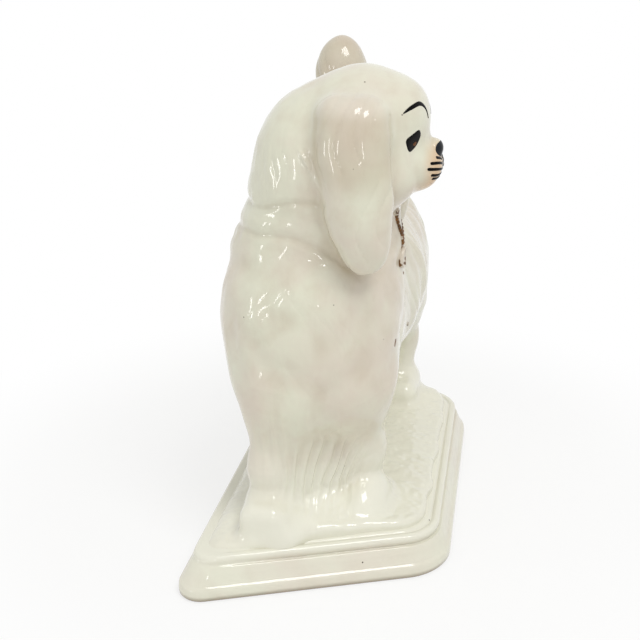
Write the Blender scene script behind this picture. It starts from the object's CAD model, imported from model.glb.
import bpy
import numpy as np
from mathutils import Matrix, Vector


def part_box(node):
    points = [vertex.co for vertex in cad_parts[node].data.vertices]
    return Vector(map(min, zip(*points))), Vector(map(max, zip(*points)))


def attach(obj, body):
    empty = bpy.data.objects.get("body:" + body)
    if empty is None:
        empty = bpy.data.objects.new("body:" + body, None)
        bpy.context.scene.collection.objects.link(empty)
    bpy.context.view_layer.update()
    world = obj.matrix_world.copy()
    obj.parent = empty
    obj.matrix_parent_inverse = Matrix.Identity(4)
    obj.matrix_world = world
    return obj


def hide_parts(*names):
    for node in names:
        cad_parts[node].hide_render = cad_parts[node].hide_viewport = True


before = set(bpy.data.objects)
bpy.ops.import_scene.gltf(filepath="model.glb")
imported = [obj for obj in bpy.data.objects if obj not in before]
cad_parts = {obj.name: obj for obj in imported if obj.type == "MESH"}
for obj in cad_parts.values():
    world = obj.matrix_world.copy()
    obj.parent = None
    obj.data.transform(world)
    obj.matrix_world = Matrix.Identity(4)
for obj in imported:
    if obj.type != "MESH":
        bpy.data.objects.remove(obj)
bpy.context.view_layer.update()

# Setting: a pale studio floor under soft top light. The camera stands at the dog's chest end, a little
# to the display side, and looks down on it. Small lamps leave the sharp sparkles that glaze shows.
camera_place = Vector((-0.42598, -0.06639, 0.24824))
camera_turn = np.radians(10.7)
camera_fall = np.radians(21.0)
focal_pixels = 1000
frame_pixels = 640
floor_span = 12.0
floor_white = "#F4F4F2"
floor_glow_share = 0.72
shadow_reach = 0.12
white_reach = 0.24
fill_strength = 0.64


def linear(hex_colour):
    """The linear colour, with alpha, of an sRGB hex value: ((c + 0.055) / 1.055) ** 2.4 above the toe."""
    parts = np.array([int(hex_colour[i : i + 2], 16) for i in (1, 3, 5)]) / 255
    toe = parts / 12.92
    curve = ((parts + 0.055) / 1.055) ** 2.4
    return (*np.where(parts <= 0.04045, toe, curve), 1.0)


def add_node(tree, kind, inputs=None, **settings):
    """Add one node: settings go to its attributes, and inputs hold values or sockets to link from."""
    made = tree.nodes.new(kind)
    for name, value in settings.items():
        setattr(made, name, value)
    for name, value in (inputs or {}).items():
        if isinstance(value, bpy.types.NodeSocket):
            tree.links.new(value, made.inputs[name])
        else:
            made.inputs[name].default_value = value
    return made


def new_material(name):
    """A node material with an empty tree."""
    made = bpy.data.materials.new(name)
    made.use_nodes = True
    made.node_tree.nodes.clear()
    return made, made.node_tree


def seen_directly(tree):
    """1 for camera, mirror and see-through rays, 0 for the rays that light things."""
    ways = add_node(tree, "ShaderNodeLightPath").outputs
    seen = ways["Is Camera Ray"]
    for way in ("Is Glossy Ray", "Is Transmission Ray"):
        seen = add_node(tree, "ShaderNodeMath", {0: seen, 1: ways[way]}, operation="MAXIMUM").outputs[0]
    return seen


forward = Vector(
    (
        np.cos(camera_fall) * np.cos(camera_turn),
        np.cos(camera_fall) * np.sin(camera_turn),
        -np.sin(camera_fall),
    )
)
right = Vector((np.sin(camera_turn), -np.cos(camera_turn), 0))
up = right.cross(forward)
camera_data = bpy.data.cameras.new("camera")
camera_data.sensor_width = 36
camera_data.lens = camera_data.sensor_width * focal_pixels / frame_pixels
camera = bpy.data.objects.new("camera", camera_data)
camera_axes = Matrix((right, up, -forward)).transposed().to_4x4()
camera.matrix_world = Matrix.Translation(camera_place) @ camera_axes
bpy.context.collection.objects.link(camera)
bpy.context.scene.camera = camera
bpy.context.scene.view_settings.view_transform = "Standard"

floor_mesh = bpy.data.meshes.new("floor")
floor_corners = np.array([(-1, -1, 0), (1, -1, 0), (1, 1, 0), (-1, 1, 0)]) * floor_span / 2
floor_mesh.from_pydata(floor_corners.tolist(), [], [(0, 1, 2, 3)])
floor = bpy.data.objects.new("floor", floor_mesh)
bpy.context.collection.objects.link(floor)
floor_paint, tree = new_material("white_floor")
floor_place = add_node(tree, "ShaderNodeTexCoord").outputs["Object"]
floor_way = add_node(tree, "ShaderNodeVectorMath", {0: floor_place}, operation="LENGTH")
floor_way = floor_way.outputs["Value"]
whiter = {
    "Value": floor_way,
    "From Min": shadow_reach,
    "From Max": white_reach,
    "To Min": floor_glow_share,
}
whiter = add_node(tree, "ShaderNodeMapRange", whiter, interpolation_type="SMOOTHSTEP").outputs[0]
glow = add_node(tree, "ShaderNodeMath", {0: seen_directly(tree), 1: whiter}, operation="MULTIPLY")
matt = add_node(tree, "ShaderNodeBsdfDiffuse", {"Color": linear(floor_white)})
shine = add_node(tree, "ShaderNodeEmission", {"Color": (1, 1, 1, 1), "Strength": 1.0})
mixed = {0: glow.outputs[0], 1: matt.outputs[0], 2: shine.outputs[0]}
mixed = add_node(tree, "ShaderNodeMixShader", mixed)
add_node(tree, "ShaderNodeOutputMaterial", {"Surface": mixed.outputs[0]})
floor_mesh.materials.append(floor_paint)

world = bpy.data.worlds.new("studio")
world.use_nodes = True
world.node_tree.nodes.clear()
tree = world.node_tree
fill = add_node(tree, "ShaderNodeBackground", {"Color": (1, 1, 1, 1), "Strength": fill_strength})
seen = add_node(tree, "ShaderNodeBackground", {"Color": (1, 1, 1, 1), "Strength": 1.0})
mixed = {0: seen_directly(tree), 1: fill.outputs[0], 2: seen.outputs[0]}
mixed = add_node(tree, "ShaderNodeMixShader", mixed)
add_node(tree, "ShaderNodeOutputWorld", {"Surface": mixed.outputs[0]})
bpy.context.scene.world = world

lamps = {
    "main_softbox": ((-0.40, -0.36, 1.00), 0.42, 0.42, 4.6),
    "left_strip": ((-0.86, 0.60, 0.24), 0.07, 0.28, 0.50),
    "left_window": ((-0.46, 0.98, 0.14), 0.10, 0.24, 0.60),
    "front_lamp": ((-0.95, -0.22, 0.30), 0.06, 0.06, 0.15),
}
lamp_aim = Vector((-0.02, 0, 0.09))
for lamp_name, (lamp_place, lamp_width, lamp_height, lamp_watts) in lamps.items():
    lamp_data = bpy.data.lights.new(lamp_name, "AREA")
    lamp_data.shape = "RECTANGLE"
    lamp_data.size = lamp_width
    lamp_data.size_y = lamp_height
    lamp_data.energy = lamp_watts
    lamp = bpy.data.objects.new(lamp_name, lamp_data)
    lamp.location = lamp_place
    lamp.rotation_euler = (lamp_aim - Vector(lamp_place)).to_track_quat("-Z", "Y").to_euler()
    bpy.context.collection.objects.link(lamp)

# Plinth: press-moulded earthenware, a rounded foot, a bevel, a sunk groove and a step, all run round a
# trapezoid with its long side at the back. It is hollow, open below, and glazed on the outside.
# The clay is worked in millimetres here, and MM turns them into Blender's metres.
MM = 0.001
plinth_depth = 106.0
plinth_front_length = 142.0
plinth_back_length = 226.0
end_lean = np.arctan((plinth_back_length - plinth_front_length) / 2 / plinth_depth)
end_reach = (plinth_front_length + plinth_back_length) / 4 * np.cos(end_lean)
front_corner = 24.0
back_corner = 9.0
least_corner = 8.0
arc_points = 14
edge_points = 40
plinth_roof = 12.2
plinth_top = 17.15
groove_ends = (10.0, 44.0)
glaze_white = "#DAD9C5"
glaze_cream = "#D6CCBC"
glaze_pooled = "#AD9C7E"
glaze_blush = "#CFA06A"
glaze_thin = "#C7BBA6"
glaze_settled = "#E9E8D9"
foot_brown = "#75603F"
iron_brown = "#3B2A1D"
cloud_size = 38.0
cloud_range = (0.38, 0.64)
mottle_size = 10.0
thin_range = (0.5, 0.72)
thin_most = 0.32
settled_top = 66.0
settled_bottom = 24.0
settled_most = 0.9
shed_top = 18.0
shed_bottom = 13.0
shed_least = 0.45
foot_stain = 3.0
foot_most = 0.85
speck_spacing = 11.5
speck_radius = 0.42
ripple_size = 5.0
ripple_height = 0.07


def glazed_earthenware(name):
    """White earthenware under clear lead glaze, dipped and fired: a milky body with warm clouds, thin
    patches, a paler foot where the glaze has settled, a deeper tone where it pools in hollows, a few iron
    specks, and a wet gloss that ripples slightly."""
    made, tree = new_material(name)
    place = add_node(tree, "ShaderNodeTexCoord").outputs["Object"]
    height = add_node(tree, "ShaderNodeSeparateXYZ", {0: place}).outputs["Z"]
    cloud = {"Vector": place, "Scale": 1 / (cloud_size * MM), "Detail": 4.0, "Roughness": 0.62}
    cloud = add_node(tree, "ShaderNodeTexNoise", cloud).outputs["Fac"]
    mottle = {"Vector": place, "Scale": 1 / (mottle_size * MM), "Detail": 3.0}
    mottle = add_node(tree, "ShaderNodeTexNoise", mottle).outputs["Fac"]
    specks = {"Vector": place, "Scale": 1 / (speck_spacing * MM), "Randomness": 1.0}
    specks = add_node(tree, "ShaderNodeTexVoronoi", specks).outputs["Distance"]
    speck_edge = speck_radius / speck_spacing
    ranges = {
        "cloud": (cloud, *cloud_range, 0.0, 1.0, "LINEAR"),
        "thin": (mottle, *thin_range, 0.0, thin_most, "LINEAR"),
        "settled": (height, settled_top * MM, settled_bottom * MM, 0.0, settled_most, "SMOOTHSTEP"),
        "shed": (height, shed_bottom * MM, shed_top * MM, shed_least, 1.0, "SMOOTHSTEP"),
        "foot": (height, foot_stain * MM, 0.0, 0.0, foot_most, "SMOOTHSTEP"),
        "speck": (specks, speck_edge, speck_edge / 2, 0.0, 1.0, "LINEAR"),
    }
    share = {}
    for layer, (value, start, end, least, most, curve) in ranges.items():
        ends = {"Value": value, "From Min": start, "From Max": end, "To Min": least, "To Max": most}
        share[layer] = add_node(tree, "ShaderNodeMapRange", ends, interpolation_type=curve).outputs[0]
    kept = {0: share["settled"], 1: share["shed"]}
    share["settled"] = add_node(tree, "ShaderNodeMath", kept, operation="MULTIPLY").outputs[0]
    for tone in ("hollow", "blush"):
        share[tone] = add_node(tree, "ShaderNodeAttribute", attribute_name=tone).outputs["Fac"]
    layers = {
        "cloud": glaze_cream,
        "thin": glaze_thin,
        "settled": glaze_settled,
        "foot": foot_brown,
        "hollow": glaze_pooled,
        "blush": glaze_blush,
        "speck": iron_brown,
    }
    colour = linear(glaze_white)
    for layer, tone in layers.items():
        laid = {"Factor": share[layer], 6: colour, 7: linear(tone)}
        colour = add_node(tree, "ShaderNodeMix", laid, data_type="RGBA").outputs[2]
    ripple = {"Vector": place, "Scale": 1 / (ripple_size * MM), "Detail": 2.0}
    ripple = add_node(tree, "ShaderNodeTexNoise", ripple).outputs["Fac"]
    bump = {"Height": ripple, "Distance": ripple_height * MM, "Strength": 1.0}
    bump = add_node(tree, "ShaderNodeBump", bump).outputs[0]
    gloss = {"Base Color": colour, "Roughness": 0.07, "IOR": 1.52, "Normal": bump}
    gloss = add_node(tree, "ShaderNodeBsdfPrincipled", gloss)
    add_node(tree, "ShaderNodeOutputMaterial", {"Surface": gloss.outputs[0]})
    return made


def outline(inset):
    """Points round the plinth's plan drawn in by an inset: an arc about each corner's centre, then the
    straight edge to the next corner. Each centre solves n . c = reach - inset - radius for its two edges."""
    half = plinth_depth / 2
    edge_angles = np.array([-np.pi / 2, -end_lean, np.pi / 2, np.pi + end_lean, 3 * np.pi / 2])
    edge_reach = np.array([half, end_reach, half, end_reach, half])
    radii = np.array([front_corner, back_corner, back_corner, front_corner])
    radii = np.maximum(radii - inset, least_corner)
    points = []
    for corner in range(4):
        turn = np.linspace(edge_angles[corner], edge_angles[corner + 1], arc_points)
        normals = np.array([[np.cos(a), np.sin(a)] for a in edge_angles[corner : corner + 2]])
        reach = edge_reach[corner : corner + 2] - inset - radii[corner]
        centre = np.linalg.solve(normals, reach)
        points.append(centre + radii[corner] * np.stack([np.cos(turn), np.sin(turn)], 1))
    run = np.linspace(0, 1, edge_points)[1:-1, None]
    rounds = []
    for corner in range(4):
        start = points[corner][-1]
        end = points[(corner + 1) % 4][0]
        rounds += [points[corner], start + (end - start) * run]
    return np.concatenate(rounds)


def grid_faces(rows, columns):
    """Quads of a grid whose columns close on themselves; rows run from the first ring to the last."""
    row, column = np.meshgrid(np.arange(rows - 1), np.arange(columns), indexing="ij")
    after = (column + 1) % columns
    start = row * columns
    corners = (start + column, start + after, start + columns + after, start + columns + column)
    return np.stack(corners, -1).reshape(-1, 4)


def make_piece(name, points, faces, material, nodes, normals=None, tones=None):
    """One smooth mesh at the origin from points in millimetres, with its finish and its CAD nodes."""
    mesh = bpy.data.meshes.new(name)
    mesh.vertices.add(len(points))
    mesh.vertices.foreach_set("co", (np.asarray(points, np.float64) * MM).ravel())
    mesh.loops.add(faces.size)
    mesh.loops.foreach_set("vertex_index", faces.astype(np.int32).ravel())
    mesh.polygons.add(len(faces))
    mesh.polygons.foreach_set("loop_start", np.arange(0, faces.size, faces.shape[1], dtype=np.int32))
    mesh.update(calc_edges=True)
    mesh.validate()
    mesh.shade_smooth()
    for tone, values in (tones or {}).items():
        layer = mesh.attributes.new(tone, "FLOAT", "POINT")
        layer.data.foreach_set("value", np.asarray(values, np.float32))
    if normals is not None:
        mesh.normals_split_custom_set_from_vertices(np.asarray(normals, np.float32))
    mesh.materials.append(material)
    made = bpy.data.objects.new(name, mesh)
    bpy.context.collection.objects.link(made)
    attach(made, "root")
    if nodes:
        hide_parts(*nodes)
    return made


def triangles_of(quads):
    """Each quad as two triangles."""
    return np.concatenate([quads[:, [0, 1, 2]], quads[:, [0, 2, 3]]])


def run_round(profile):
    """A closed solid from a profile of (inset, height) carried round the plinth's outline. The first and
    the last ring close on a point at the middle, at the height of the hollow's roof and of the top."""
    rings = [np.column_stack([outline(inset), np.full(ring_size, height)]) for inset, height in profile]
    points = np.concatenate(rings + [[(0, 0, plinth_roof), (0, 0, plinth_top)]])
    step = np.arange(ring_size)
    after = (step + 1) % ring_size
    roof = len(profile) * ring_size
    last_ring = roof - ring_size
    roof_cap = np.stack([np.full(ring_size, roof), after, step], 1)
    top_cap = np.stack([np.full(ring_size, roof + 1), last_ring + step, last_ring + after], 1)
    side = triangles_of(grid_faces(len(profile), ring_size))
    return points, np.concatenate([side, roof_cap, top_cap])


ring_size = len(outline(0))
glaze = glazed_earthenware("clear_glaze_on_white_earthenware")
plinth_profile = np.array(
    [
        (12.0, plinth_roof), (6.6, 9.0), (5.3, 2.2), (4.6, 0.3), (1.2, 0.0), (0.1, 0.2), (-0.4, 0.9),
        (-0.5, 2.4), (-0.2, 4.9), (0.25, 5.58), (0.6, 5.85), (0.95, 6.08), (1.2, 6.33), (2.5, 9.6),
        (3.8, 12.4), (4.2, 12.8), (4.9, 12.5), (5.5, 12.7), (5.5, 13.2), (4.9, 14.0), (4.8, 15.2),
        (5.0, 16.2), (5.6, 16.8), (6.5, 16.95), (7.8, 16.9), (8.1, 16.4), (8.5, 16.4), (8.8, 16.9),
        (9.6, 17.1), (11.0, plinth_top), (14.0, plinth_top),
    ]
)
# Towards the back, glaze has flooded the groove over the bevel and the fine one on the step.
flooded_profile = plinth_profile.copy()
flooded_profile[15:20] = ((4.25, 13.0), (4.4, 13.4), (4.5, 13.8), (4.6, 14.2), (4.7, 15.2))
flooded_profile[25:27, 1] = 16.95
points, plinth_faces = run_round(plinth_profile)
flooded = run_round(flooded_profile)[0]
filled = np.clip((points[:, 1:2] - groove_ends[0]) / (groove_ends[1] - groove_ends[0]), 0, 1)
points = points + filled * (flooded - points)
plain = {"hollow": np.zeros(len(points)), "blush": np.zeros(len(points))}
make_piece("plinth", points, plinth_faces, glaze, ["plinth"], tones=plain)

# Ground: a slab of modelled turf on the plinth, with a wavy lip trimmed by hand and a mound between the
# front paws. Like each form of clay below, it is a distance in millimetres for whole arrays of points:
# negative inside the clay, zero on its skin. Lumps and pieces are melted together where they meet.
ground_inset = 10.6
ground_top = 20.6
ground_underside = 13.0
ground_edge = 14.2
lip_rounding = 2.4
lip_wave = 1.1
lip_wave_length = 11
lip_seed = 3
worn_ends = (12.0, 40.0)
worn_spread = 4.5
worn_rounding = 11.6
turf_dapples = ((0.45, 13, 1), (0.3, 4.5, 2), (0.2, 2.2, 11))
mounds = (((-61.0, 5.0), 15.5, 10.5), ((58.0, -27.0), 15.0, 2.4))


def meld(softness, first, *others):
    """Lumps pressed together: the lesser distance, rounded by a parabola over the softness."""
    joined = first
    for lump in others:
        share = np.clip(0.5 + 0.5 * (lump - joined) / softness, 0, 1)
        joined = lump + (joined - lump) * share - softness * share * (1 - share)
    return joined


def ease(low, high, value):
    """A smooth step from 0 at low to 1 at high."""
    share = np.clip((value - low) / (high - low), 0, 1)
    return share * share * (3 - 2 * share)


def dapple(p, size, seed):
    """Soft random relief from -1 to 1: hashed values at the corners of cells of a size, blended by ease."""
    q = p / size + seed * 17.3
    cell = np.floor(q)
    share = q - cell
    share = share * share * (3 - 2 * share)
    total = np.zeros(len(p))
    for corner in np.ndindex(2, 2, 2):
        lattice = (cell + corner) @ np.array([127.1, 311.7, 74.7])
        value = np.sin(lattice) * 43758.5453
        value -= np.floor(value)
        weight = np.prod(np.where(corner, share, 1 - share), axis=1)
        total += weight * value
    return 2 * total - 1


def dapples(p, layers, base=0.0):
    """A base relief with layers of dapples on it, each given by its depth, size and seed."""
    for depth, size, seed in layers:
        base = base + depth * dapple(p, size, seed)
    return base


def plan_distance(p):
    """Distance from the plinth's outline in plan: the furthest of its four edges, with eased corners."""
    ends = np.abs(p[:, 0]) * np.cos(end_lean) - p[:, 1] * np.sin(end_lean) - end_reach
    sides = np.abs(p[:, 1]) - plinth_depth / 2
    return -meld(front_corner / 2, -ends, -sides)


def ground_form(p):
    """The turf: all that is under its wavy top and inside its wavy lip, with an edge that is worn round and
    spreads further out towards the back."""
    x, y, z = p.T
    flat = p * (1, 1, 0)
    height = ground_top
    for middle, mound_reach, mound_height in mounds:
        away = np.hypot(x - middle[0], y - middle[1]) / mound_reach
        height = height + mound_height * np.exp(-away * away)
    height = dapples(flat, turf_dapples, height)
    wave = lip_wave * dapple(flat, lip_wave_length, lip_seed)
    worn = ease(*worn_ends, y)
    rim = plan_distance(p) + ground_inset - worn_spread * worn + wave * (1 - worn)
    rounding = lip_rounding + worn_rounding * worn
    return np.maximum(-meld(rounding, -(z - height), -rim), ground_underside - z)


# Body: the trunk is a hollow shell, pressed in two halves and joined by a seam along the dog. Breast and
# brisket make the front, the barrel and the haunches run back from them. Its coat lies in soft locks.
trunk_lumps = (
    ((-45, 9.8, 107), (36, 36.3, 40)),
    ((-47, 8.7, 87), (33, 34.2, 31)),
    ((10, 1.5, 100), (66, 34.5, 40)),
    ((52, 1.5, 98), (34, 31, 42)),
    ((-62, 15.5, 73), (18.5, 16, 16)),
    ((-52, -3, 73), (19, 19.5, 17)),
    ((-44, -4, 122), (20, 21, 28)),
)
trunk_softness = 12.0
chest_end = np.array([-45.0, 10.0])
rump_end = np.array([52.0, 1.5])
trunk_girth = 36.0
lock_spacing = 9.0
lock_length = 34.0
chest_locks = 0.14
flank_locks = 0.2
thigh_locks = 0.3
swirl_reach = 3.0
swirl_size = 9.0
trunk_dapples = ((0.9, (9, 9, 13), 4), (0.12, (4, 4, 6.5), 5))


def egg(p, centre, radii):
    """Distance to an egg: k (k - 1) / |q / r^2|, where q is the way from its centre and k = |q / r|."""
    q = (p - np.array(centre)) / np.array(radii)
    near = np.sqrt(np.einsum("ij,ij->i", q, q))
    q = q / np.array(radii)
    return near * (near - 1) / np.maximum(np.sqrt(np.einsum("ij,ij->i", q, q)), 1e-6)


def strands(across, along, spacing, length):
    """Combed locks: rounded ridges |sin| across, swaying along their length and fading in and out."""
    sway = 0.45 * spacing * np.sin(2 * np.pi * along / length + across / (1.7 * spacing))
    ridge = np.abs(np.sin(np.pi * (across + sway) / spacing)) ** 0.7
    fade = 0.65 + 0.35 * np.sin(2 * np.pi * along / (1.6 * length) + across / (0.8 * spacing))
    return (ridge - 0.6) * fade


def trunk_form(p):
    """Breast, brisket, barrel and haunches melted into one trunk."""
    return meld(trunk_softness, *(egg(p, *lump) for lump in trunk_lumps))


def round_trunk(p):
    """The way round the trunk from the middle of the chest, in plan: along a half circle of its girth,
    then down the flank, then round the rump. It is positive on both sides."""
    length = np.linalg.norm(rump_end - chest_end)
    back = (rump_end - chest_end) / length
    way = (p[:, :2] - chest_end) @ back
    aside = np.abs((p[:, :2] - chest_end) @ np.array([-back[1], back[0]]))
    front_turn = np.arctan2(aside, np.maximum(-way, 0))
    rear_turn = np.arctan2(np.maximum(way - length, 0), aside)
    return trunk_girth * (front_turn + rear_turn) + np.clip(way, 0, length)


def trunk_coat(p):
    """Soft dapples on the chest, combed locks that deepen along the flanks and the thighs."""
    way = round_trunk(p)
    drop = p[:, 2] + 0.3 * way
    locks = strands(way + 0.35 * p[:, 2], drop, lock_spacing, lock_length)
    depth = chest_locks + flank_locks * ease(40, 80, way) + thigh_locks * ease(75, 55, p[:, 2])
    swirl = p + swirl_reach * np.sin(p[:, [2, 0, 1]] / swirl_size)
    return depth * locks + dapples(swirl, trunk_dapples) + neck_folds(p) * ease(118, 124, p[:, 2])


# Neck: a short ring of clay between shoulders and head. Its coat hangs over the shoulders as a roll.
neck_x = -43.0
neck_lumps = (
    ((neck_x, 4.5, 153), (27.5, 29.5, 22)),
    ((neck_x, 6.3, 139.5), (28.5, 32.3, 15)),
    ((neck_x, 8.0, 131), (28, 34.5, 11)),
)
neck_softness = 8.0
upper_fold_height = 151.2
lower_fold_height = 141.3
roll_height = 145.5
upper_fold_depth = 0.8
lower_fold_depth = 0.9
roll_depth = 0.9
upper_fold_width = 1.5
lower_fold_width = 1.9
roll_width = 3.6
neck_dapples = ((0.6, (9, 9, 6), 6), (0.25, (3.5, 3.5, 3), 14))


def neck_form(p):
    """The neck's column and the roll of hair round its foot."""
    return meld(neck_softness, *(egg(p, *lump) for lump in neck_lumps))


def neck_coat(p):
    """The folds above and below the roll, and dapples."""
    return dapples(p, neck_dapples, neck_folds(p))


def neck_folds(p):
    """Two soft folds and a roll between them, each exp(-(way / width)^2) across: the upper fold rises
    towards the ear, the lower one falls to the ear's tip."""
    x, y, z = p.T
    wander = 0.6 * dapple(p, (8, 8, 8), 15)
    upper = z - upper_fold_height - 4.3 * ease(27, 9, y) + wander
    lower = z - lower_fold_height + 0.0215 * np.maximum(12 - y, 0) ** 2 + wander
    folds = -upper_fold_depth * np.exp(-((upper / upper_fold_width) ** 2))
    folds = folds - lower_fold_depth * np.exp(-((lower / lower_fold_width) ** 2))
    roll = roll_depth * np.exp(-(((z - roll_height) / roll_width) ** 2))
    return (folds + roll) * ease(-19, -9, y)


# Head: a hollow shell pressed as a face and a back. It looks to the display side, so its length runs
# along y. A dome of a skull, full cheeks, a short muzzle, and hollows where the eyes are painted.
head_x = -43.0
skull_lumps = (
    ((0, 4.3, 165), (29, 27.5, 31)),
    ((0, -11, 177.5), (26.5, 25, 26)),
    ((0, -25, 187), (16, 10, 10)),
)
cheek = ((11, -19, 163), (14, 14.5, 12))
muzzle_lumps = (
    ((0, -31, 168), (12.5, 10, 8.8)),
    ((4.5, -34, 165.5), (7, 7.5, 5.8)),
    ((0, -31.5, 161.5), (7.5, 6.5, 4.2)),
)
nose = ((0, -38.5, 172.5), (5.2, 3.4, 3.8))
eye_hollow = ((17, -39, 175), (7, 7, 6))
skull_softness = 7.0
cheek_softness = 8.0
muzzle_softness = 5.0
eye_softness = 3.0
nose_softness = 1.2


def facing(p):
    """Points seen from the head's middle plane: the first number is the way out to either side."""
    return np.column_stack([np.abs(p[:, 0] - head_x), p[:, 1], p[:, 2]])


def head_form(p):
    """Skull and crown, cheeks, muzzle and nose, less the two hollows for the eyes."""
    q = facing(p)
    dome = meld(skull_softness, *(egg(q, *lump) for lump in skull_lumps))
    face = meld(cheek_softness, dome, egg(q, *cheek))
    face = meld(muzzle_softness, face, *(egg(q, *lump) for lump in muzzle_lumps))
    face = -meld(eye_softness, -face, egg(q, *eye_hollow))
    return meld(nose_softness, face, egg(q, *nose))


def head_coat(p):
    """Faint dapples, thin hair combed down behind the ears, and one raised curl beside each ear."""
    q = facing(p)
    out, y, z = q.T
    turn = np.arctan2(y - 5.5, out) * 29
    hair = 0.3 * strands(turn, z, 5.0, 40.0) * ease(-4, 4, y) * ease(186, 168, z)
    from_curl = y - 1.3 - 0.67 * (z - 164.1)
    curl = 0.9 * np.exp(-(from_curl**2)) - 0.6 * np.exp(-(((from_curl + 2.4) / 1.2) ** 2))
    curl = curl * ease(158, 163, z) * ease(177, 172, z) * ease(15, 22, out)
    plain = 0.25 * dapple(p, 9, 7) + 0.18 * dapple(p, (3.5, 3.5, 5), 16) * ease(-12, 2, y)
    return plain + hair + curl + neck_folds(p)


def muzzle_blush(p):
    """Flesh-pink enamel rubbed round the muzzle and under the chin, fading out on the cheeks."""
    q = facing(p)
    front = ease(-34.5, -40.5, q[:, 1]) * ease(155, 160, q[:, 2]) * ease(178, 172, q[:, 2])
    chin = ease(-30, -36, q[:, 1]) * ease(164, 158, q[:, 2]) * ease(150, 153, q[:, 2])
    return np.clip(0.62 * front + 0.36 * chin, 0, 0.7)


# Ears: two long flaps, pressed solid and hung from ledges high on the head. They lie on the neck, and
# their tips stand clear of the breast.
ear_root = ((21.5, -10.4, 184.5), (10, 13.5, 10.5), 8.5)
ear_lumps = (
    ((29.5, -11.6, 174), (8.5, 13.4, 18)),
    ((31, -14, 157), (8.5, 12.7, 18)),
    ((30.5, -16.5, 143), (7, 9.5, 13)),
)
ear_softness = 6.0
ear_lock_depth = 0.45
ear_lock_spacing = 6.5
ear_lock_length = 40.0
ear_dapples = ((0.45, (8, 8, 14), 8),)


def block(p, centre, half, rounding):
    """Distance to a block with rounded edges: the way to a smaller block, less the rounding."""
    q = np.abs(p - np.array(centre)) - (np.array(half) - rounding)
    outer = np.maximum(q, 0)
    return np.sqrt(np.einsum("ij,ij->i", outer, outer)) + np.minimum(q.max(1), 0) - rounding


def ear_form(p, side):
    """One flap of flattened lumps hung from a ledge: side is -1 for the right ear and 1 for the left."""
    q = np.column_stack([side * (p[:, 0] - head_x), p[:, 1], p[:, 2]])
    return meld(ear_softness, block(q, *ear_root), *(egg(q, *lump) for lump in ear_lumps))


def ear_coat(p):
    """Hair combed down the flap in long shallow waves."""
    x, y, z = p.T
    locks = ear_lock_depth * strands(y + 0.12 * z, z, ear_lock_spacing, ear_lock_length)
    return dapples(p, ear_dapples, locks)


# Legs: four, each pressed solid with its paw and luted to the trunk and the turf. The right front leg
# stands forward. The hind legs bend back at the hock.
right_shank = ((-74, 21.6, 28), (-73, 21.6, 44), 6.4, 7.0)
right_forearm = ((-73, 21.6, 44), (-63, 17, 76), 7.0, 17)
right_paw = ((-79, 21.5, 22), (13, 9.5, 12), 6)
right_toes = ((-74, 12, 19.5), (15, 10.5, 9))
right_paw_softness = 7.0
front_of_paw = -91.8
front_rounding = 3.0
left_shank = ((-46, -12.6, 28), (-46, -12.4, 44), 8.8, 9.6)
left_forearm = ((-46, -12.4, 44), (-50, -5, 76), 9.6, 20)
left_paw = ((-50, -15, 17), (20, 12.5, 16.5))
left_paw_softness = 4.0
elbow_softness = 8.0
hind_line = 1.5
thigh = ((54, 15, 84), (22, 16, 27))
ham = ((58, 15.5, 74), (66, 17, 50), 15, 9.5)
hind_shank = ((66, 17, 50), (64, 17.5, 28), 9.5, 8.2)
hind_paw = ((57, 18, 23), (15.5, 11.5, 9), 6)
hind_softness = 7.0
leg_dapples = ((0.3, (7, 7, 10), 9),)


def rod(p, start, end, start_radius, end_radius):
    """Distance to a tapering rod: the way to the nearest point of its line, less the radius there."""
    start = np.array(start)
    along = np.array(end) - start
    share = np.clip((p - start) @ along / (along @ along), 0, 1)
    gap = p - start - share[:, None] * along
    return np.sqrt(np.einsum("ij,ij->i", gap, gap)) - (start_radius + (end_radius - start_radius) * share)


def front_right_leg_form(p):
    """A straight leg that widens into the brisket, and a blocky paw that runs forward to the lip."""
    leg = meld(elbow_softness, rod(p, *right_shank), rod(p, *right_forearm))
    paw = meld(elbow_softness, block(p, *right_paw), egg(p, *right_toes))
    clump = meld(right_paw_softness, leg, paw)
    blunt = -meld(front_rounding, -clump, p[:, 0] - front_of_paw)
    return np.maximum(blunt, ground_underside - p[:, 2])


def front_left_leg_form(p):
    """The display side's front leg, a little thicker, with its paw on the turf."""
    leg = meld(elbow_softness, rod(p, *left_shank), rod(p, *left_forearm))
    return np.maximum(meld(left_paw_softness, leg, egg(p, *left_paw)), ground_underside - p[:, 2])


def hind_leg_form(p, side):
    """Thigh, hock and shank in one bend, with a paw: side is -1 for the left leg and 1 for the right."""
    q = np.column_stack([p[:, 0], side * (p[:, 1] - hind_line), p[:, 2]])
    lumps = (egg(q, *thigh), rod(q, *ham), rod(q, *hind_shank), block(q, *hind_paw))
    return np.maximum(meld(hind_softness, *lumps), ground_underside - p[:, 2])


def leg_coat(p):
    """Almost smooth, with faint dapples."""
    return dapples(p, leg_dapples)


# Feathering: the curtain of long hair that hangs from the brisket between the front legs, and fans out
# over the turf.
curtain_feet = ((-67.0, 16.2), (-48.0, -5.0))
curtain_heads = ((-70.5, 15.0), (-54.5, -4.0))
curtain_rods = 4
hanging_ends = (20, 66)
hanging_radii = (8.0, 9.0)
flared_ends = (16, 31)
flared_radii = (15.0, 6.5)
curtain_softness = 5.0
hair_spacing = 4.4
hair_depth = 1.2
hair_sink = 0.4
hair_dapples = ((1.3, (6, 6, 18), 12),)


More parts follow.
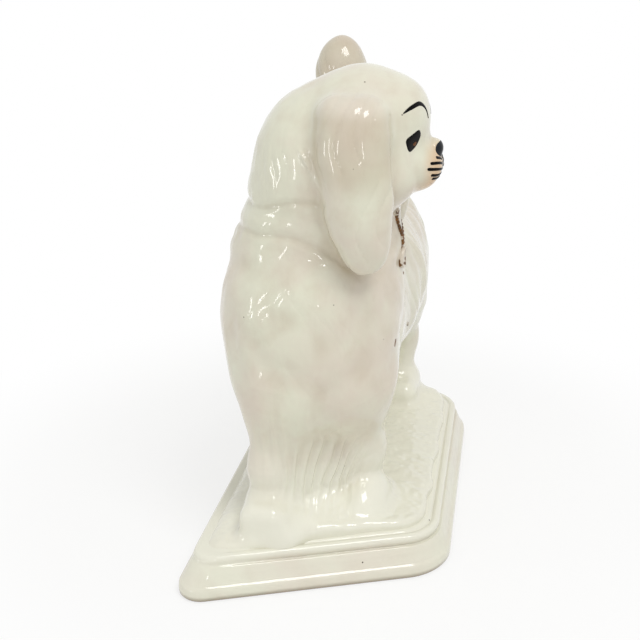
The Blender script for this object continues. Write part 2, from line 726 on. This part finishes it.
def feathering_form(p):
    """A curtain from leg to leg: four rods side by side, from the turf up into the brisket, and four short
    ones that flare out at their feet."""
    shares = np.linspace(0, 1, curtain_rods)[:, None]
    feet = (1 - shares) * curtain_feet[0] + shares * curtain_feet[1]
    heads = (1 - shares) * curtain_heads[0] + shares * curtain_heads[1]
    hanging = []
    flared = []
    for foot, head in zip(feet, heads):
        hanging.append(rod(p, (*foot, hanging_ends[0]), (*head, hanging_ends[1]), *hanging_radii))
        flared.append(rod(p, (*foot, flared_ends[0]), (*foot, flared_ends[1]), *flared_radii))
    return np.maximum(meld(curtain_softness, *hanging, *flared), ground_underside - p[:, 2])


def feathering_coat(p):
    """Sharp thin strands: upright beside the right leg, leaning over to it beside the left."""
    x, y, z = p.T
    gathered = (y - 18) / (1 - 0.012 * np.clip(56 - z, 0, 22))
    gathered = dapples(p, hair_dapples, gathered)
    return hair_depth * (0.5 + 0.5 * np.cos(2 * np.pi * gathered / hair_spacing)) ** 1.5 - hair_sink


# Tail: a plume carried upright behind the haunches, as tall as the head, bent a little to the back.
tail_path = ((72, 1.5, 118), (86, 6, 141), (90, 13, 164), (85.5, 18.2, 182))
tail_radii = (10.5, 12.5, 13.2, 12.0)
tail_tip = ((84, 18.9, 182.5), (12.5, 13, 19.5))
plume_softness = 3.0
plume_girth = 12.5
plume_lock_depth = 0.7
plume_lock_spacing = 7.0
plume_lock_length = 45.0
tail_dapples = ((0.3, (6, 6, 12), 10),)


def tail_form(p):
    """Tapering rods from bend to bend of the plume, and an egg for its tip."""
    spans = zip(tail_path[:-1], tail_path[1:], tail_radii[:-1], tail_radii[1:])
    return meld(plume_softness, *(rod(p, *span) for span in spans), egg(p, *tail_tip))


def tail_coat(p):
    """Long locks up the plume."""
    x, y, z = p.T
    turn = np.arctan2(y - 12, x - 88) * plume_girth
    locks = plume_lock_depth * strands(turn + 0.2 * z, z, plume_lock_spacing, plume_lock_length)
    return dapples(p, tail_dapples, locks * ease(201, 190, z))


# Luting: the pieces are stuck together with slip, smoothed, and dipped in glaze, so no seam shows. One
# skin is drawn over all of the clay and then cut where piece meets piece, so the joints stay hidden.
forms = {
    "ground": ground_form,
    "body": trunk_form,
    "neck_ring": neck_form,
    "head": head_form,
    "ear_right": lambda p: ear_form(p, -1),
    "ear_left": lambda p: ear_form(p, 1),
    "front_leg_right": front_right_leg_form,
    "front_leg_left": front_left_leg_form,
    "hind_leg_right": lambda p: hind_leg_form(p, 1),
    "hind_leg_left": lambda p: hind_leg_form(p, -1),
    "chest_feathering": feathering_form,
    "tail": tail_form,
}
coats = {
    "body": trunk_coat,
    "neck_ring": neck_coat,
    "head": head_coat,
    "ear_right": ear_coat,
    "ear_left": ear_coat,
    "front_leg_right": leg_coat,
    "front_leg_left": leg_coat,
    "hind_leg_right": leg_coat,
    "hind_leg_left": leg_coat,
    "chest_feathering": feathering_coat,
    "tail": tail_coat,
}
halves = {
    "body": ("body_left_half", "body_right_half", 6.0),
    "head": ("head_face_half", "head_back_half", -4.0),
}
skin_step = 0.75
skin_low = np.array([-107.0, -52.0, 11.0])
skin_high = np.array([107.0, 54.0, 206.0])
block_cells = 8
coat_blend = 2.5
working_margin = 14.0
pool_reach = 3.0
pool_least = 0.12
hollow_most = 0.8
ear_stain = 0.42
tail_stain = 0.4
curtain_stain = 0.12
flank_stain = 0.14
wall = 3.0
leg_softness = 10.0
thigh_softness = 7.0
tail_softness = 6.0
hair_softness = 3.5
head_softness = 7.0
shoulder_crease = 4.5
ear_crease = 5.0
turf_crease = 4.0

reach = {}
for name in forms:
    ends = np.array([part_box(node) for node in halves.get(name, (name,))[:2]]) / MM
    reach[name] = (ends.min((0, 1)), ends.max((0, 1)))


def distances(p):
    """Each form's distance, for the forms whose piece comes near these points; the others are far off."""
    low = p.min(0) - working_margin
    high = p.max(0) + working_margin
    found = dict.fromkeys(forms, np.full(len(p), 4 * working_margin))
    for name, form in forms.items():
        box_low, box_high = reach[name]
        if np.all(low < box_high) and np.all(high > box_low):
            found[name] = form(p)
    return found


def clay(p):
    """The whole figure above the plinth: trunk and legs run together, the head sits in a crease."""
    d = distances(p)
    torso = meld(leg_softness, d["body"], d["front_leg_right"], d["front_leg_left"])
    torso = meld(thigh_softness, torso, d["hind_leg_right"], d["hind_leg_left"])
    torso = meld(tail_softness, torso, d["tail"])
    torso = meld(hair_softness, torso, d["chest_feathering"])
    upper = meld(head_softness, d["head"], d["neck_ring"])
    figure = meld(shoulder_crease, torso, upper)
    figure = meld(ear_crease, figure, d["ear_right"], d["ear_left"])
    return meld(turf_crease, figure, d["ground"])


def in_batches(work, p, batch=6000):
    """A function of points, worked out for a batch of neighbours at a time."""
    return np.concatenate([work(p[i : i + batch]) for i in range(0, len(p), batch)])


def coat(p):
    """Relief of the coat: each piece's own, shared out by how near its form is."""
    d = distances(p)
    nearness = {name: np.exp(-np.clip(d[name], -20, 20) / coat_blend) for name in forms}
    relief = np.zeros(len(p))
    for name, texture in coats.items():
        if d[name].min() < working_margin:
            relief += texture(p) * nearness[name]
    return relief / sum(nearness.values())


def slope(field, p, step=0.05):
    """Gradient and value of a field, from its values at the corners of a small tetrahedron."""
    ways = np.array([(1, -1, -1), (-1, -1, 1), (-1, 1, -1), (1, 1, 1)])
    values = np.stack([in_batches(field, p + step * way) for way in ways], 1)
    return values @ ways / (4 * step), values.mean(1)


def settle(places, steps):
    """Points moved onto the skin by Newton's steps, value / slope^2 along the slope, and its normals."""
    for _ in range(steps):
        lean, value = slope(clay, places)
        places = places - lean * (value / np.maximum((lean * lean).sum(1), 0.05))[:, None]
    lean = slope(clay, places)[0]
    return places, lean / np.linalg.norm(lean, axis=1)[:, None]


def draw_skin(field):
    """Net of quads on a field's zero level: one point in each mixed cell of a fine grid, at the mean of its
    edges' crossings, and one quad across each crossed edge. Only blocks near the skin are worked out."""
    side = skin_step * block_cells
    counts = np.ceil((skin_high - skin_low) / side).astype(int)
    centres = [skin_low[i] + side * (np.arange(counts[i]) + 0.5) for i in range(3)]
    rough = in_batches(field, np.stack(np.meshgrid(*centres, indexing="ij"), -1).reshape(-1, 3))
    rough = rough.reshape(counts)
    level = rough.astype(np.float32)
    for axis in range(3):
        level = np.repeat(level, block_cells, axis)
    near = np.argwhere(np.abs(rough) < 1.1 * side) * block_cells
    within = np.stack(np.meshgrid(*[np.arange(block_cells)] * 3, indexing="ij"), -1).reshape(-1, 3)
    nodes = (near[:, None] + within).reshape(-1, 3)
    level[tuple(nodes.T)] = in_batches(field, skin_low + skin_step * nodes)

    inside = level < 0
    corners = np.array(list(np.ndindex(2, 2, 2)))
    limits = np.array(level.shape) - 1
    filled = np.zeros(limits, np.int8)
    for corner in corners:
        filled += inside[tuple(slice(c, c + n) for c, n in zip(corner, limits))]
    cells = np.argwhere((filled > 0) & (filled < 8))
    number = np.full(limits, -1, np.int32)
    number[tuple(cells.T)] = np.arange(len(cells))
    values = np.stack([level[tuple((cells + corner).T)] for corner in corners], 1)
    total = np.zeros((len(cells), 3))
    crossings = np.zeros(len(cells))
    pairs = [(a, b) for a in range(8) for b in range(a + 1, 8)]
    for a, b in [pair for pair in pairs if np.abs(corners[pair[0]] - corners[pair[1]]).sum() == 1]:
        crossed = (values[:, a] < 0) != (values[:, b] < 0)
        share = np.where(crossed, values[:, a] / np.where(crossed, values[:, a] - values[:, b], 1), 0)
        total += crossed[:, None] * (corners[a] + share[:, None] * (corners[b] - corners[a]))
        crossings += crossed
    points = skin_low + skin_step * (cells + total / crossings[:, None])

    quads = []
    for axis in range(3):
        u = np.eye(3, dtype=int)[(axis + 1) % 3]
        v = np.eye(3, dtype=int)[(axis + 2) % 3]
        lower = np.take(inside, np.arange(limits[axis]), axis)
        upper = np.take(inside, np.arange(1, limits[axis] + 1), axis)
        edges = np.argwhere(lower != upper)
        leaves = lower[tuple(edges.T)]
        ring = np.stack([number[tuple((edges - w).T)] for w in (u + v, v, 0 * u, u)], 1)
        quads.append(np.where(leaves[:, None], ring, ring[:, ::-1]))
    return points, np.concatenate(quads)


def trimmed(points, triangles):
    """Only the points that some triangle uses."""
    used, renumbered = np.unique(triangles, return_inverse=True)
    return points[used], renumbered.reshape(-1, 3)


def cut_off(points, triangles, level):
    """Cut a net of triangles along a level's zero line: the part below zero, then the part above. A cut
    edge gets one new point, shared by both parts, by linear blending of all columns."""
    below = level < 0
    count = below[triangles].sum(1)
    mixed = triangles[(count == 1) | (count == 2)]
    odd = np.where((below[mixed].sum(1) == 1)[:, None], below[mixed], ~below[mixed]).argmax(1)
    rows = np.arange(len(mixed))
    turned = np.stack([mixed[rows, (odd + k) % 3] for k in range(3)], 1)
    ends = np.sort(np.concatenate([turned[:, [0, 1]], turned[:, [0, 2]]]), 1)
    unique, back = np.unique(ends, axis=0, return_inverse=True)
    a, b = unique.T
    share = (level[a] / (level[a] - level[b]))[:, None]
    grown = np.concatenate([points, points[a] + share * (points[b] - points[a])])
    first, second = (len(points) + back.ravel()).reshape(2, -1)
    tip = np.stack([turned[:, 0], first, second], 1)
    foot = np.concatenate(
        [np.stack([first, turned[:, 1], turned[:, 2]], 1), np.stack([first, turned[:, 2], second], 1)]
    )
    tip_below = below[turned[:, 0]]
    foot_below = np.concatenate([~tip_below, ~tip_below])
    parts = (
        np.concatenate([triangles[count == 3], tip[tip_below], foot[foot_below]]),
        np.concatenate([triangles[count == 0], tip[~tip_below], foot[~foot_below]]),
    )
    return [trimmed(grown, part) for part in parts]


def nearer_by(p, name, others):
    """How much further off a piece's form is than the nearest of some others: negative on its own skin."""
    d = distances(p)
    return d[name] - np.min([d[other] for other in others], axis=0)


def closed_shell(columns, triangles):
    """A wall of clay behind an open skin: the skin, the same skin set back along its normals, and a rim."""
    back = columns.copy()
    back[:, :3] -= wall * columns[:, 3:6]
    back[:, 3:6] *= -1
    size = len(columns)
    edges = np.concatenate([triangles[:, [0, 1]], triangles[:, [1, 2]], triangles[:, [2, 0]]])
    key = edges[:, 0].astype(np.int64) * size + edges[:, 1]
    twin = edges[:, 1].astype(np.int64) * size + edges[:, 0]
    a, b = edges[~np.isin(key, twin)].T
    rim = np.concatenate([np.stack([b, a, a + size], 1), np.stack([b, a + size, b + size], 1)])
    return np.concatenate([columns, back]), np.concatenate([triangles, triangles[:, ::-1] + size, rim])


def stain(p):
    """Where the glaze ran thin in firing and the warm clay shows: most on the upper ears and the tail,
    a little on the curtain of hair and on the flanks."""
    d = distances(p)
    z = p[:, 2]
    ears = np.minimum(d["ear_right"], d["ear_left"])
    on_ear = ease(1.5, -0.5, ears) * ease(158, 170, z) * ease(192, 186, z)
    on_tail = ease(1.5, -0.5, d["tail"])
    on_curtain = ease(1.5, -0.5, d["chest_feathering"]) * ease(40, 50, z) * ease(64, 58, z)
    on_flank = ease(-26, -8, p[:, 0]) * ease(1.5, -0.5, d["body"])
    upper = ear_stain * on_ear + tail_stain * on_tail
    return upper + curtain_stain * on_curtain + flank_stain * on_flank


skin_points, skin_quads = draw_skin(clay)
skin_points, normals = settle(skin_points, 3)
tilt, rise = slope(coat, skin_points, 0.2)
tilt -= normals * (tilt * normals).sum(1)[:, None]
skin_points += rise[:, None] * normals
pooled = 1 - in_batches(clay, skin_points + pool_reach * normals) / pool_reach
normals = normals - tilt
normals /= np.linalg.norm(normals, axis=1)[:, None]
hollow = np.clip(pooled - pool_least, 0, hollow_most) * (1 - 0.6 * ease(62, 46, skin_points[:, 2]))
hollow = np.clip(hollow + in_batches(stain, skin_points), 0, hollow_most)
blush = muzzle_blush(skin_points)
skin = np.column_stack([skin_points, normals, hollow, blush])
triangles = triangles_of(skin_quads)

luted = {}
rest = list(forms)
for name in reversed(list(forms)[1:]):
    rest.remove(name)
    lead = in_batches(lambda p: nearer_by(p, name, rest), skin[:, :3])
    luted[name], (skin, triangles) = cut_off(skin, triangles, lead)
luted["ground"] = cut_off(skin, triangles, ground_edge - skin[:, 2])[0]
for name, (front, back, seam_y) in halves.items():
    columns, faces = luted.pop(name)
    luted[front], luted[back] = cut_off(columns, faces, columns[:, 1] - seam_y)
for name, (columns, faces) in luted.items():
    columns, faces = closed_shell(columns, faces)
    tones = {"hollow": columns[:, 6], "blush": columns[:, 7]}
    make_piece(name, columns[:, :3], faces, glaze, [name], columns[:, 3:6], tones)

# Enamel: brows, eyes, nose and whiskers are brushed on over the glaze in black and fired again. Each touch
# is a film of paint that is thickest along its middle. The far side of the face mirrors the near side.
enamel_black = "#060505"
nose_slate = "#202326"
iris_brown = "#5A3B24"
film = 0.22
film_sink = 0.35
iris_lift = 0.08
stroke_sides = 14
dab_rings = 8
streak_width = 1.5
streak_tone = (1.5, 1.45, 1.4, 1)
brow_path = (
    (18, -28.1, 188), (14.9, -30.6, 189.7), (9.9, -33.4, 190.6), (6.6, -35.4, 188.2), (5.0, -36.2, 184.6),
)
brow_widths = (0.5, 1.5, 1.8, 1.1, 0.35)
eye_edge = (
    (17.9, -29.5, 178.3), (15.6, -31.4, 180), (12.4, -33.5, 181.4), (10.8, -34.1, 179.2),
    (11.5, -33.1, 176.2), (13.5, -32, 174.5), (16.2, -30.9, 173.8), (17.5, -30.1, 175.2),
)
iris_edge = ((14.6, -32, 176.2), (13.4, -32.6, 177.1), (12.4, -33, 176.6), (13.2, -32.4, 175.4))
nose_edge = (
    (5.4, -39.6, 172.3), (4, -39.5, 174.2), (0, -40.3, 174.9), (-4, -39.5, 174.2), (-5.4, -39.6, 172.3),
    (-4.4, -40.5, 170.2), (0, -41.6, 169.2), (4.4, -40.5, 170.2),
)
whisker_paths = (
    ((7.3, -39.6, 170.1), (1.4, -41.8, 168.4)),
    ((10.7, -38, 168.5), (1.2, -42, 166.8)),
    ((12.1, -37.1, 166.7), (1.5, -42.3, 165.2)),
    ((11, -38.6, 164.2), (2.2, -42.2, 163.8)),
    ((10, -39.3, 162.4), (3.4, -41.8, 162.2)),
)
whisker_widths = (1.3, 0.9)


def on_skin(hints):
    """The places on the finished skin next to some points, and the skin's normals there."""
    places, upright = settle(np.array(hints, float), 4)
    return places + coat(places)[:, None] * upright, upright


def smooth_run(stops, count, closed=False):
    """Points along a smooth line through some stops: a cubic between each two, with its ends' slopes
    from the stops on either side."""
    stops = np.array(stops, float)
    before, start, end, after = (np.roll(stops, shift, 0) for shift in (1, 0, -1, -2))
    spans = len(stops)
    if not closed:
        before[0] = stops[0]
        after[-2] = stops[-1]
        spans -= 1
    place = np.linspace(0, spans, count, endpoint=not closed)
    span = np.minimum(place.astype(int), spans - 1)
    t = (place - span)[:, None]
    a, b, c, d = before[span], start[span], end[span], after[span]
    return b + 0.5 * t * (c - a + t * (2 * a - 5 * b + 4 * c - d + t * (3 * (b - c) + d - a)))


def film_over(hints, lift):
    """A closed film: each row of hints runs round the film, and lift raises or sinks its points."""
    rows, columns = lift.shape
    places, upright = on_skin(hints.reshape(-1, 3))
    points = places + lift.reshape(-1, 1) * upright
    return points, triangles_of(grid_faces(rows, columns)), upright


def brush_stroke(path, widths, count=28):
    """A stroke along a path: across it a flat lens, whose top is the film and whose underside is sunk."""
    line, upright = on_skin(smooth_run(path, count))
    width = np.interp(np.linspace(0, 1, count), np.linspace(0, 1, len(widths)), widths) / 2
    width *= np.sqrt(np.clip(1.02 - np.linspace(-1, 1, count) ** 8, 0, 1))
    tangent = np.gradient(line, axis=0)
    aside = np.cross(upright, tangent)
    aside /= np.linalg.norm(aside, axis=1)[:, None]
    turn = np.linspace(0, 2 * np.pi, stroke_sides, endpoint=False)
    hints = line[:, None] + aside[:, None] * (width[:, None] * np.cos(turn))[..., None]
    lift = np.where(np.sin(turn) > 0, film * np.sin(turn), film_sink * np.sin(turn))
    return film_over(hints, np.tile(lift, (count, 1)))


def brush_dab(edge, count=36):
    """A dab inside an edge: rings from its middle out over the top, and back underneath."""
    rim = smooth_run(edge, count, closed=True)
    middle = rim.mean(0)
    share = np.sin(np.linspace(0.02, np.pi / 2, dab_rings))
    share = np.concatenate([share, share[::-1]])
    rise = np.cos(np.linspace(0, np.pi / 2, dab_rings)) ** 0.6
    lift = np.concatenate([film * rise, -film_sink * rise[::-1]])
    hints = middle + (rim - middle) * share[:, None, None]
    return film_over(hints, np.tile(lift[:, None], (1, count)))


def faced(path, side):
    """Points given from the head's middle plane, set on one side of it: -1 is the dog's right."""
    return [(head_x + side * out, y, z) for out, y, z in path]


def fired_enamel(name, colour):
    """Painted enamel, fired on: nearly black, glossy, slightly streaked by the brush."""
    made, tree = new_material(name)
    place = add_node(tree, "ShaderNodeTexCoord").outputs["Object"]
    streak = {"Vector": place, "Scale": 1 / (streak_width * MM), "Detail": 2.0}
    streak = add_node(tree, "ShaderNodeTexNoise", streak).outputs["Fac"]
    colour = np.array(linear(colour))
    tone = {"Factor": streak, 6: tuple(colour), 7: tuple(colour * streak_tone)}
    tone = add_node(tree, "ShaderNodeMix", tone, data_type="RGBA").outputs[2]
    paint = {"Base Color": tone, "Roughness": 0.16, "IOR": 1.16}
    paint = add_node(tree, "ShaderNodeBsdfPrincipled", paint)
    add_node(tree, "ShaderNodeOutputMaterial", {"Surface": paint.outputs[0]})
    return made


def lay_films(name, films, material, nodes=()):
    """Several films of one paint as one piece."""
    starts = np.cumsum([0] + [len(laid[0]) for laid in films])
    points = np.concatenate([laid[0] for laid in films])
    faces = np.concatenate([laid[1] + start for laid, start in zip(films, starts)])
    make_piece(name, points, faces, material, nodes)


black = fired_enamel("black_enamel", enamel_black)
slate = fired_enamel("slate_enamel", nose_slate)
brown = fired_enamel("brown_enamel", iris_brown)
for side, side_name in ((-1, "right"), (1, "left")):
    brow = brush_stroke(faced(brow_path, side)[::-side], brow_widths[::-side])
    eye = brush_dab(faced(eye_edge, side)[::side])
    iris = brush_dab(faced(iris_edge, side)[::side])
    iris = (iris[0] + iris_lift * iris[2], iris[1])
    whisker_lines = [faced(path, side)[::-side] for path in whisker_paths]
    whiskers = [brush_stroke(line, whisker_widths[::-side], 16) for line in whisker_lines]
    lay_films(f"brow_{side_name}", [brow], black)
    lay_films(f"eye_{side_name}", [eye], black)
    lay_films(f"iris_{side_name}", [iris], brown)
    lay_films(f"whiskers_{side_name}", whiskers, black)
lay_films("nose_enamel", [brush_dab(faced(nose_edge, -1)[::-1])], slate)

# Gilding: a chain of clay beads runs from under each ear to a locket on the throat, and was gilded over the
# glaze like a few dabs on the chest. The gold is worn and has gone brown.
gold = "#8F5E20"
gold_worn = "#201308"
bead_radius = 1.0
beads_a_side = 13
locket_place = (-43.0, -30.0, 128.0)
locket_radius = 4.6
chain_spreads = np.radians((13, 30))
chain_top = 148.6
chain_bottom = 133.0
chain_sag = 1.3
chain_reach = 34.0
chain_middle = 6.0
chain_bare = 0.25
locket_bare = 0.75
brown_size = 2.4
rub_size = 4.0
bead_rows = 9
bead_columns = 14
rim_points = 40
gold_dabs = (
    ((-52.5, -26.5, 94.5), 1.2, 2.0),
    ((-50.5, -26.5, 88.0), 1.2, 1.2),
    ((-43.4, -26.0, 132.4), 1.6, 1.9),
    ((-41.0, -26.5, 120.5), 0.6, 0.6),
    ((-18.0, -28.5, 89.8), 0.5, 1.0),
)


def worn_gilding(name, bare_share):
    """Gold fired on over the glaze: browned in patches, and rubbed through to the glaze over a share."""
    made, tree = new_material(name)
    place = add_node(tree, "ShaderNodeTexCoord").outputs["Object"]
    patch = {"Vector": place, "Scale": 1 / (brown_size * MM), "Detail": 3.0}
    patch = add_node(tree, "ShaderNodeTexNoise", patch).outputs["Fac"]
    rub = {"Vector": place, "Scale": 1 / (rub_size * MM), "Detail": 2.0}
    rub = add_node(tree, "ShaderNodeTexNoise", rub).outputs["Fac"]
    edge = 0.3 + 0.4 * bare_share
    bare = {"Value": rub, "From Min": edge + 0.03, "From Max": edge - 0.03}
    bare = add_node(tree, "ShaderNodeMapRange", bare).outputs[0]
    colour = linear(gold)
    for share, tone in ((patch, gold_worn), (bare, glaze_cream)):
        laid = {"Factor": share, 6: colour, 7: linear(tone)}
        colour = add_node(tree, "ShaderNodeMix", laid, data_type="RGBA").outputs[2]
    metal = add_node(tree, "ShaderNodeMapRange", {"Value": bare, "To Min": 0.3, "To Max": 0.0})
    shine = {"Base Color": colour, "Metallic": metal.outputs[0], "Roughness": 0.28}
    shine = add_node(tree, "ShaderNodeBsdfPrincipled", shine)
    add_node(tree, "ShaderNodeOutputMaterial", {"Surface": shine.outputs[0]})
    return made


def pressed_beads(middles, radius):
    """Beads half sunk in the clay, all as one mesh: balls of points r (sin a cos b, sin a sin b, cos a)."""
    polar = np.linspace(0, np.pi, bead_rows)[:, None]
    turn = np.linspace(0, 2 * np.pi, bead_columns, endpoint=False)
    ball = np.sin(polar) * np.cos(turn), np.sin(polar) * np.sin(turn), np.cos(polar) + 0 * turn
    ball = np.stack(ball, -1).reshape(-1, 3)
    points = (middles[:, None] + radius * ball).reshape(-1, 3)
    faces = triangles_of(grid_faces(bead_rows, bead_columns))
    starts = len(ball) * np.arange(len(middles))
    return points, (faces[:, ::-1] + starts[:, None, None]).reshape(-1, 3)


gilt = worn_gilding("worn_gilding", chain_bare)
locket_gilt = worn_gilding("rubbed_gilding", locket_bare)
share = np.linspace(0, 1, beads_a_side + 1)[1:]
angle = np.concatenate([-chain_spreads[0] * share**chain_sag, chain_spreads[1] * share**chain_sag])
height = np.tile(chain_bottom + (chain_top - chain_bottom) * share, 2)
chain_x = neck_x + chain_reach * np.sin(angle)
chain_y = chain_middle - chain_reach * np.cos(angle)
bead_middles = on_skin(np.stack([chain_x, chain_y, height], -1))[0]
beads, bead_faces = pressed_beads(bead_middles, bead_radius)
make_piece("chain_beads", beads, bead_faces, gilt, ["chain"])

(locket_middle,), (locket_upright,) = on_skin([locket_place])
sideways = np.cross(locket_upright, (0, 0, 1))
sideways /= np.linalg.norm(sideways)
upwards = np.cross(sideways, locket_upright)
turn = np.linspace(0, 2 * np.pi, rim_points, endpoint=False)
round_rim = np.cos(turn)[:, None] * sideways + np.sin(turn)[:, None] * upwards
locket_reach = np.array([0.02, 0.3, 0.55, 0.68, 0.76, 0.86, 0.95, 1.0, 1.0, 0.9, 0.5, 0.02])
locket_lift = np.array([1.15, 1.1, 0.95, 0.85, 1.45, 1.6, 1.2, 0.5, -0.6, -0.8, -0.8, -0.8])
locket_hints = locket_middle + (locket_reach * locket_radius)[:, None, None] * round_rim
locket, locket_faces, _ = film_over(locket_hints, np.tile(locket_lift[:, None], (1, rim_points)))
make_piece("locket_disc", locket, locket_faces[:, ::-1], locket_gilt, ["locket"])

dabs = []
for middle, half_width, half_height in gold_dabs:
    spread = np.stack([half_width * np.cos(turn), np.zeros(rim_points), half_height * np.sin(turn)], -1)
    dabs.append(brush_dab((middle + spread)[::4]))
lay_films("gold_dabs", dabs, gilt)

# Base slab: unglazed biscuit under the plinth, pressed into its mouth. Only its colour is set here.
biscuit_tan = "#C9B695"
grain_size = 6.0
biscuit, tree = new_material("biscuit")
place = add_node(tree, "ShaderNodeTexCoord").outputs["Object"]
grain = {"Vector": place, "Scale": 1 / (grain_size * MM), "Detail": 5.0}
grain = add_node(tree, "ShaderNodeTexNoise", grain).outputs["Fac"]
shade = {"Factor": grain, 6: linear(biscuit_tan), 7: linear(glaze_thin)}
shade = add_node(tree, "ShaderNodeMix", shade, data_type="RGBA").outputs[2]
matt = add_node(tree, "ShaderNodeBsdfPrincipled", {"Base Color": shade, "Roughness": 0.85})
add_node(tree, "ShaderNodeOutputMaterial", {"Surface": matt.outputs[0]})
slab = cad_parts["base_slab"]
slab.data.materials.clear()
slab.data.materials.append(biscuit)
